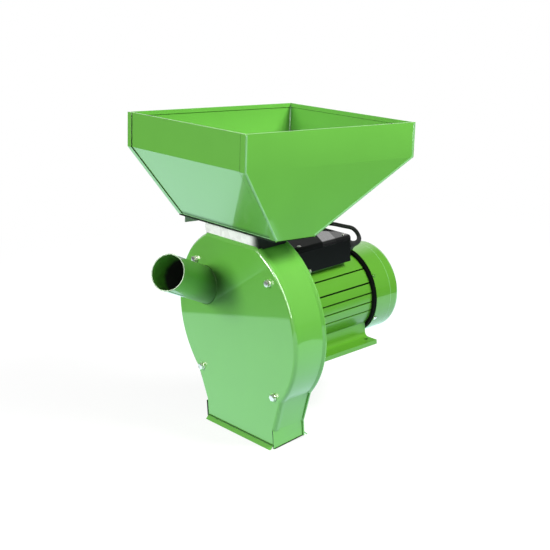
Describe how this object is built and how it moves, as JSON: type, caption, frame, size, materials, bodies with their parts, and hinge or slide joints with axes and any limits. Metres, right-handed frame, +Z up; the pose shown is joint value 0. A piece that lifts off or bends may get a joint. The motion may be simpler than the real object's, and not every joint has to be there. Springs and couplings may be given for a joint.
{
  "type": "electric grain mill",
  "caption": "Hammer mill in a round sheet housing with a finned foot motor, a slanted spout and a leaning hopper above a slide gate.",
  "frame": {"origin": "middle of the outlet's width, at the foot of its front lip, in the plane of the front cover's face", "axes": "+X to the right seen from the front cover, +Y from the front cover back to the motor, +Z up"},
  "size_m": [0.4607, 0.4805, 0.6116],
  "materials": {
    "green_paint": "glossy",
    "motor_paint": "glossy green enamel",
    "cover_paint": "glossy",
    "zinc": "galvanised",
    "zinc_screw": "zinc plated",
    "steel": "plain",
    "rotor_casting": "cast",
    "copper": "varnished copper wire",
    "black_casting": "black enamel",
    "black_box": "glossy",
    "black_plastic": "satin",
    "white_plastic": "satin",
    "rocker_red": "glossy",
    "can": "drawn",
    "cord_rubber": "matt",
    "pin_brass": "nickel plated"
  },
  "bodies": {
    "mill": {"housing_shell": "green_paint", "rear_plate": "green_paint", "front_cover": "green_paint", "feed_spout": "green_paint", "cover_bolts": "zinc_screw", "cover_nuts": "zinc_screw", "inlet_neck": "zinc", "gate_guides": "zinc", "hopper_floor": "green_paint", "hopper_front": "green_paint", "hopper_back": "green_paint", "hopper_left": "green_paint", "hopper_right": "green_paint", "hopper_screws": "zinc_screw", "sieve": "steel", "stator_core": "steel", "stator_windings": "copper", "motor_frame": "motor_paint", "front_end_shield": "motor_paint", "rear_end_shield": "black_casting", "shield_screws": "zinc_screw", "front_bearing": "steel", "rear_bearing": "steel", "fan_cover": "cover_paint", "fan_cover_screws": "zinc_screw", "flange_bolts": "zinc_screw", "terminal_box": "black_box", "box_lid": "black_box", "lid_screws": "zinc_screw", "start_capacitor": "black_plastic", "run_capacitor": "can", "terminal_block": "white_plastic", "switch_body": "black_plastic", "cable_gland": "black_box", "gland_nut": "black_box", "cord_lead": "cord_rubber", "cord_coil": "cord_rubber", "cord_tie": "black_plastic", "cord_tail": "cord_rubber", "plug_body": "black_plastic", "plug_pins": "pin_brass"},
    "gate": {"gate_plate": "zinc"},
    "hammer_a": {"hammer_1": "steel"},
    "hammer_b": {"hammer_2": "steel"},
    "hammer_c": {"hammer_3": "steel"},
    "hammer_d": {"hammer_4": "steel"},
    "rocker": {"switch_rocker": "rocker_red"},
    "reset": {"reset_button": "black_plastic"},
    "rotor": {"rotor_hub": "steel", "rotor_disc_front": "steel", "rotor_disc_rear": "steel", "hammer_pins": "steel", "hammer_spacers": "steel", "rotor_bolt": "zinc_screw", "rotor_key": "steel", "motor_shaft": "steel", "rotor_core": "rotor_casting", "bearing_inner_rings": "steel", "cooling_fan": "black_plastic"}
  },
  "joints": [
    {"name": "rotor_spin", "type": "hinge", "parent": "mill", "child": "rotor", "pos_m": [0, 0.036, 0.222], "axis": [0, 1, 0], "continuous": true},
    {"name": "hammer_a_swing", "type": "hinge", "parent": "rotor", "child": "hammer_a", "pos_m": [0.0495, 0.024, 0.2715], "axis": [0, -1, 0], "range_deg": [-8, 275]},
    {"name": "hammer_b_swing", "type": "hinge", "parent": "rotor", "child": "hammer_b", "pos_m": [-0.0495, 0.032, 0.2715], "axis": [0, -1, 0], "range_deg": [-275, 8]},
    {"name": "hammer_c_swing", "type": "hinge", "parent": "rotor", "child": "hammer_c", "pos_m": [-0.0495, 0.04, 0.1725], "axis": [0, -1, 0], "range_deg": [-188, 98]},
    {"name": "hammer_d_swing", "type": "hinge", "parent": "rotor", "child": "hammer_d", "pos_m": [0.0495, 0.048, 0.1725], "axis": [0, -1, 0], "range_deg": [-98, 188]},
    {"name": "gate_slide", "type": "slide", "parent": "mill", "child": "gate", "axis": [-1, 0, 0], "range_m": [0, 0.108]},
    {"name": "rocker_tilt", "type": "hinge", "parent": "mill", "child": "rocker", "pos_m": [-0.055, 0.176, 0.322], "axis": [0, 0, 1], "range_deg": [-20, 0]},
    {"name": "reset_press", "type": "slide", "parent": "mill", "child": "reset", "axis": [1, 0, 0], "range_m": [0, 0.002], "stiffness_N_per_m": 400}
  ]
}
